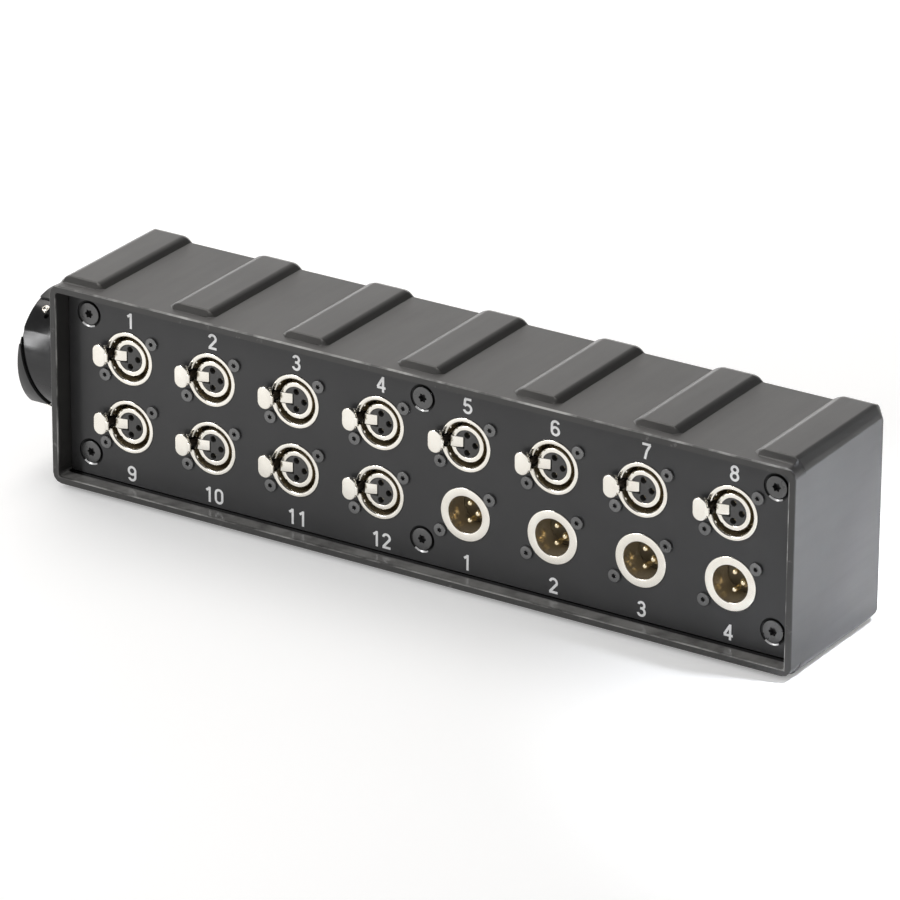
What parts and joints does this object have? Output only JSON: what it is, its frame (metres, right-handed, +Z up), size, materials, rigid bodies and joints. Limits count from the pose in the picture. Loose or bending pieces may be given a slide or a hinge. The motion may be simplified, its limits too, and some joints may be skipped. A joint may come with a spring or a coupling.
{
  "type": "stage box snake",
  "caption": "Rubber-clad stage box with a recessed panel of latching XLR inputs and XLR outputs and a round multipin connector on its left end for the multicore cable.",
  "frame": {"origin": "middle of the underside, on the bottom face of the middle rib", "axes": "+X along the panel, from channel 1 to channel 8; +Y from the panel to the back; +Z up"},
  "size_m": [0.387, 0.0756, 0.0954],
  "materials": {
    "rubber": "satin moulded",
    "panel_finish": "black anodised satin",
    "black_screw": "blackened steel, semi-gloss",
    "nickel": "satin nickel plate",
    "black_insert": "matte",
    "black_anodised": "black anodised, glossy",
    "cable_jacket": "matte"
  },
  "bodies": {
    "root": {"rubber_housing": "rubber", "front_panel": "panel_finish", "panel_screw_1": "black_screw", "panel_screw_2": "black_screw", "panel_screw_3": "black_screw", "panel_screw_4": "black_screw", "panel_screw_5": "black_screw", "panel_screw_6": "black_screw", "xlr_in_1_shell": "nickel", "xlr_in_1_insert": "black_insert", "xlr_in_9_shell": "nickel", "xlr_in_9_insert": "black_insert", "xlr_in_2_shell": "nickel", "xlr_in_2_insert": "black_insert", "xlr_in_10_shell": "nickel", "xlr_in_10_insert": "black_insert", "xlr_in_3_shell": "nickel", "xlr_in_3_insert": "black_insert", "xlr_in_11_shell": "nickel", "xlr_in_11_insert": "black_insert", "xlr_in_4_shell": "nickel", "xlr_in_4_insert": "black_insert", "xlr_in_12_shell": "nickel", "xlr_in_12_insert": "black_insert", "xlr_in_5_shell": "nickel", "xlr_in_5_insert": "black_insert", "xlr_out_1_shell": "nickel", "xlr_out_1_insert": "black_insert", "xlr_in_6_shell": "nickel", "xlr_in_6_insert": "black_insert", "xlr_out_2_shell": "nickel", "xlr_out_2_insert": "black_insert", "xlr_in_7_shell": "nickel", "xlr_in_7_insert": "black_insert", "xlr_out_3_shell": "nickel", "xlr_out_3_insert": "black_insert", "xlr_in_8_shell": "nickel", "xlr_in_8_insert": "black_insert", "xlr_out_4_shell": "nickel", "xlr_out_4_insert": "black_insert", "multipin_shell": "black_anodised", "multipin_insert": "black_insert", "multipin_screw_1": "black_screw", "multipin_screw_2": "black_screw", "multipin_screw_3": "black_screw", "multipin_screw_4": "black_screw", "wiring_loom_upper": "cable_jacket", "wiring_loom_lower": "cable_jacket"},
    "latch_1": {"xlr_in_1_latch": "nickel"},
    "latch_2": {"xlr_in_2_latch": "nickel"},
    "latch_3": {"xlr_in_3_latch": "nickel"},
    "latch_4": {"xlr_in_4_latch": "nickel"},
    "latch_5": {"xlr_in_5_latch": "nickel"},
    "latch_6": {"xlr_in_6_latch": "nickel"},
    "latch_7": {"xlr_in_7_latch": "nickel"},
    "latch_8": {"xlr_in_8_latch": "nickel"},
    "latch_9": {"xlr_in_9_latch": "nickel"},
    "latch_10": {"xlr_in_10_latch": "nickel"},
    "latch_11": {"xlr_in_11_latch": "nickel"},
    "latch_12": {"xlr_in_12_latch": "nickel"}
  },
  "joints": [
    {"name": "latch_1_press", "type": "slide", "parent": "root", "child": "latch_1", "axis": [0, 1, 0], "range_m": [0, 0.0015], "stiffness_N_per_m": 1500},
    {"name": "latch_2_press", "type": "slide", "parent": "root", "child": "latch_2", "axis": [0, 1, 0], "range_m": [0, 0.0015], "stiffness_N_per_m": 1500},
    {"name": "latch_3_press", "type": "slide", "parent": "root", "child": "latch_3", "axis": [0, 1, 0], "range_m": [0, 0.0015], "stiffness_N_per_m": 1500},
    {"name": "latch_4_press", "type": "slide", "parent": "root", "child": "latch_4", "axis": [0, 1, 0], "range_m": [0, 0.0015], "stiffness_N_per_m": 1500},
    {"name": "latch_5_press", "type": "slide", "parent": "root", "child": "latch_5", "axis": [0, 1, 0], "range_m": [0, 0.0015], "stiffness_N_per_m": 1500},
    {"name": "latch_6_press", "type": "slide", "parent": "root", "child": "latch_6", "axis": [0, 1, 0], "range_m": [0, 0.0015], "stiffness_N_per_m": 1500},
    {"name": "latch_7_press", "type": "slide", "parent": "root", "child": "latch_7", "axis": [0, 1, 0], "range_m": [0, 0.0015], "stiffness_N_per_m": 1500},
    {"name": "latch_8_press", "type": "slide", "parent": "root", "child": "latch_8", "axis": [0, 1, 0], "range_m": [0, 0.0015], "stiffness_N_per_m": 1500},
    {"name": "latch_9_press", "type": "slide", "parent": "root", "child": "latch_9", "axis": [0, 1, 0], "range_m": [0, 0.0015], "stiffness_N_per_m": 1500},
    {"name": "latch_10_press", "type": "slide", "parent": "root", "child": "latch_10", "axis": [0, 1, 0], "range_m": [0, 0.0015], "stiffness_N_per_m": 1500},
    {"name": "latch_11_press", "type": "slide", "parent": "root", "child": "latch_11", "axis": [0, 1, 0], "range_m": [0, 0.0015], "stiffness_N_per_m": 1500},
    {"name": "latch_12_press", "type": "slide", "parent": "root", "child": "latch_12", "axis": [0, 1, 0], "range_m": [0, 0.0015], "stiffness_N_per_m": 1500}
  ]
}
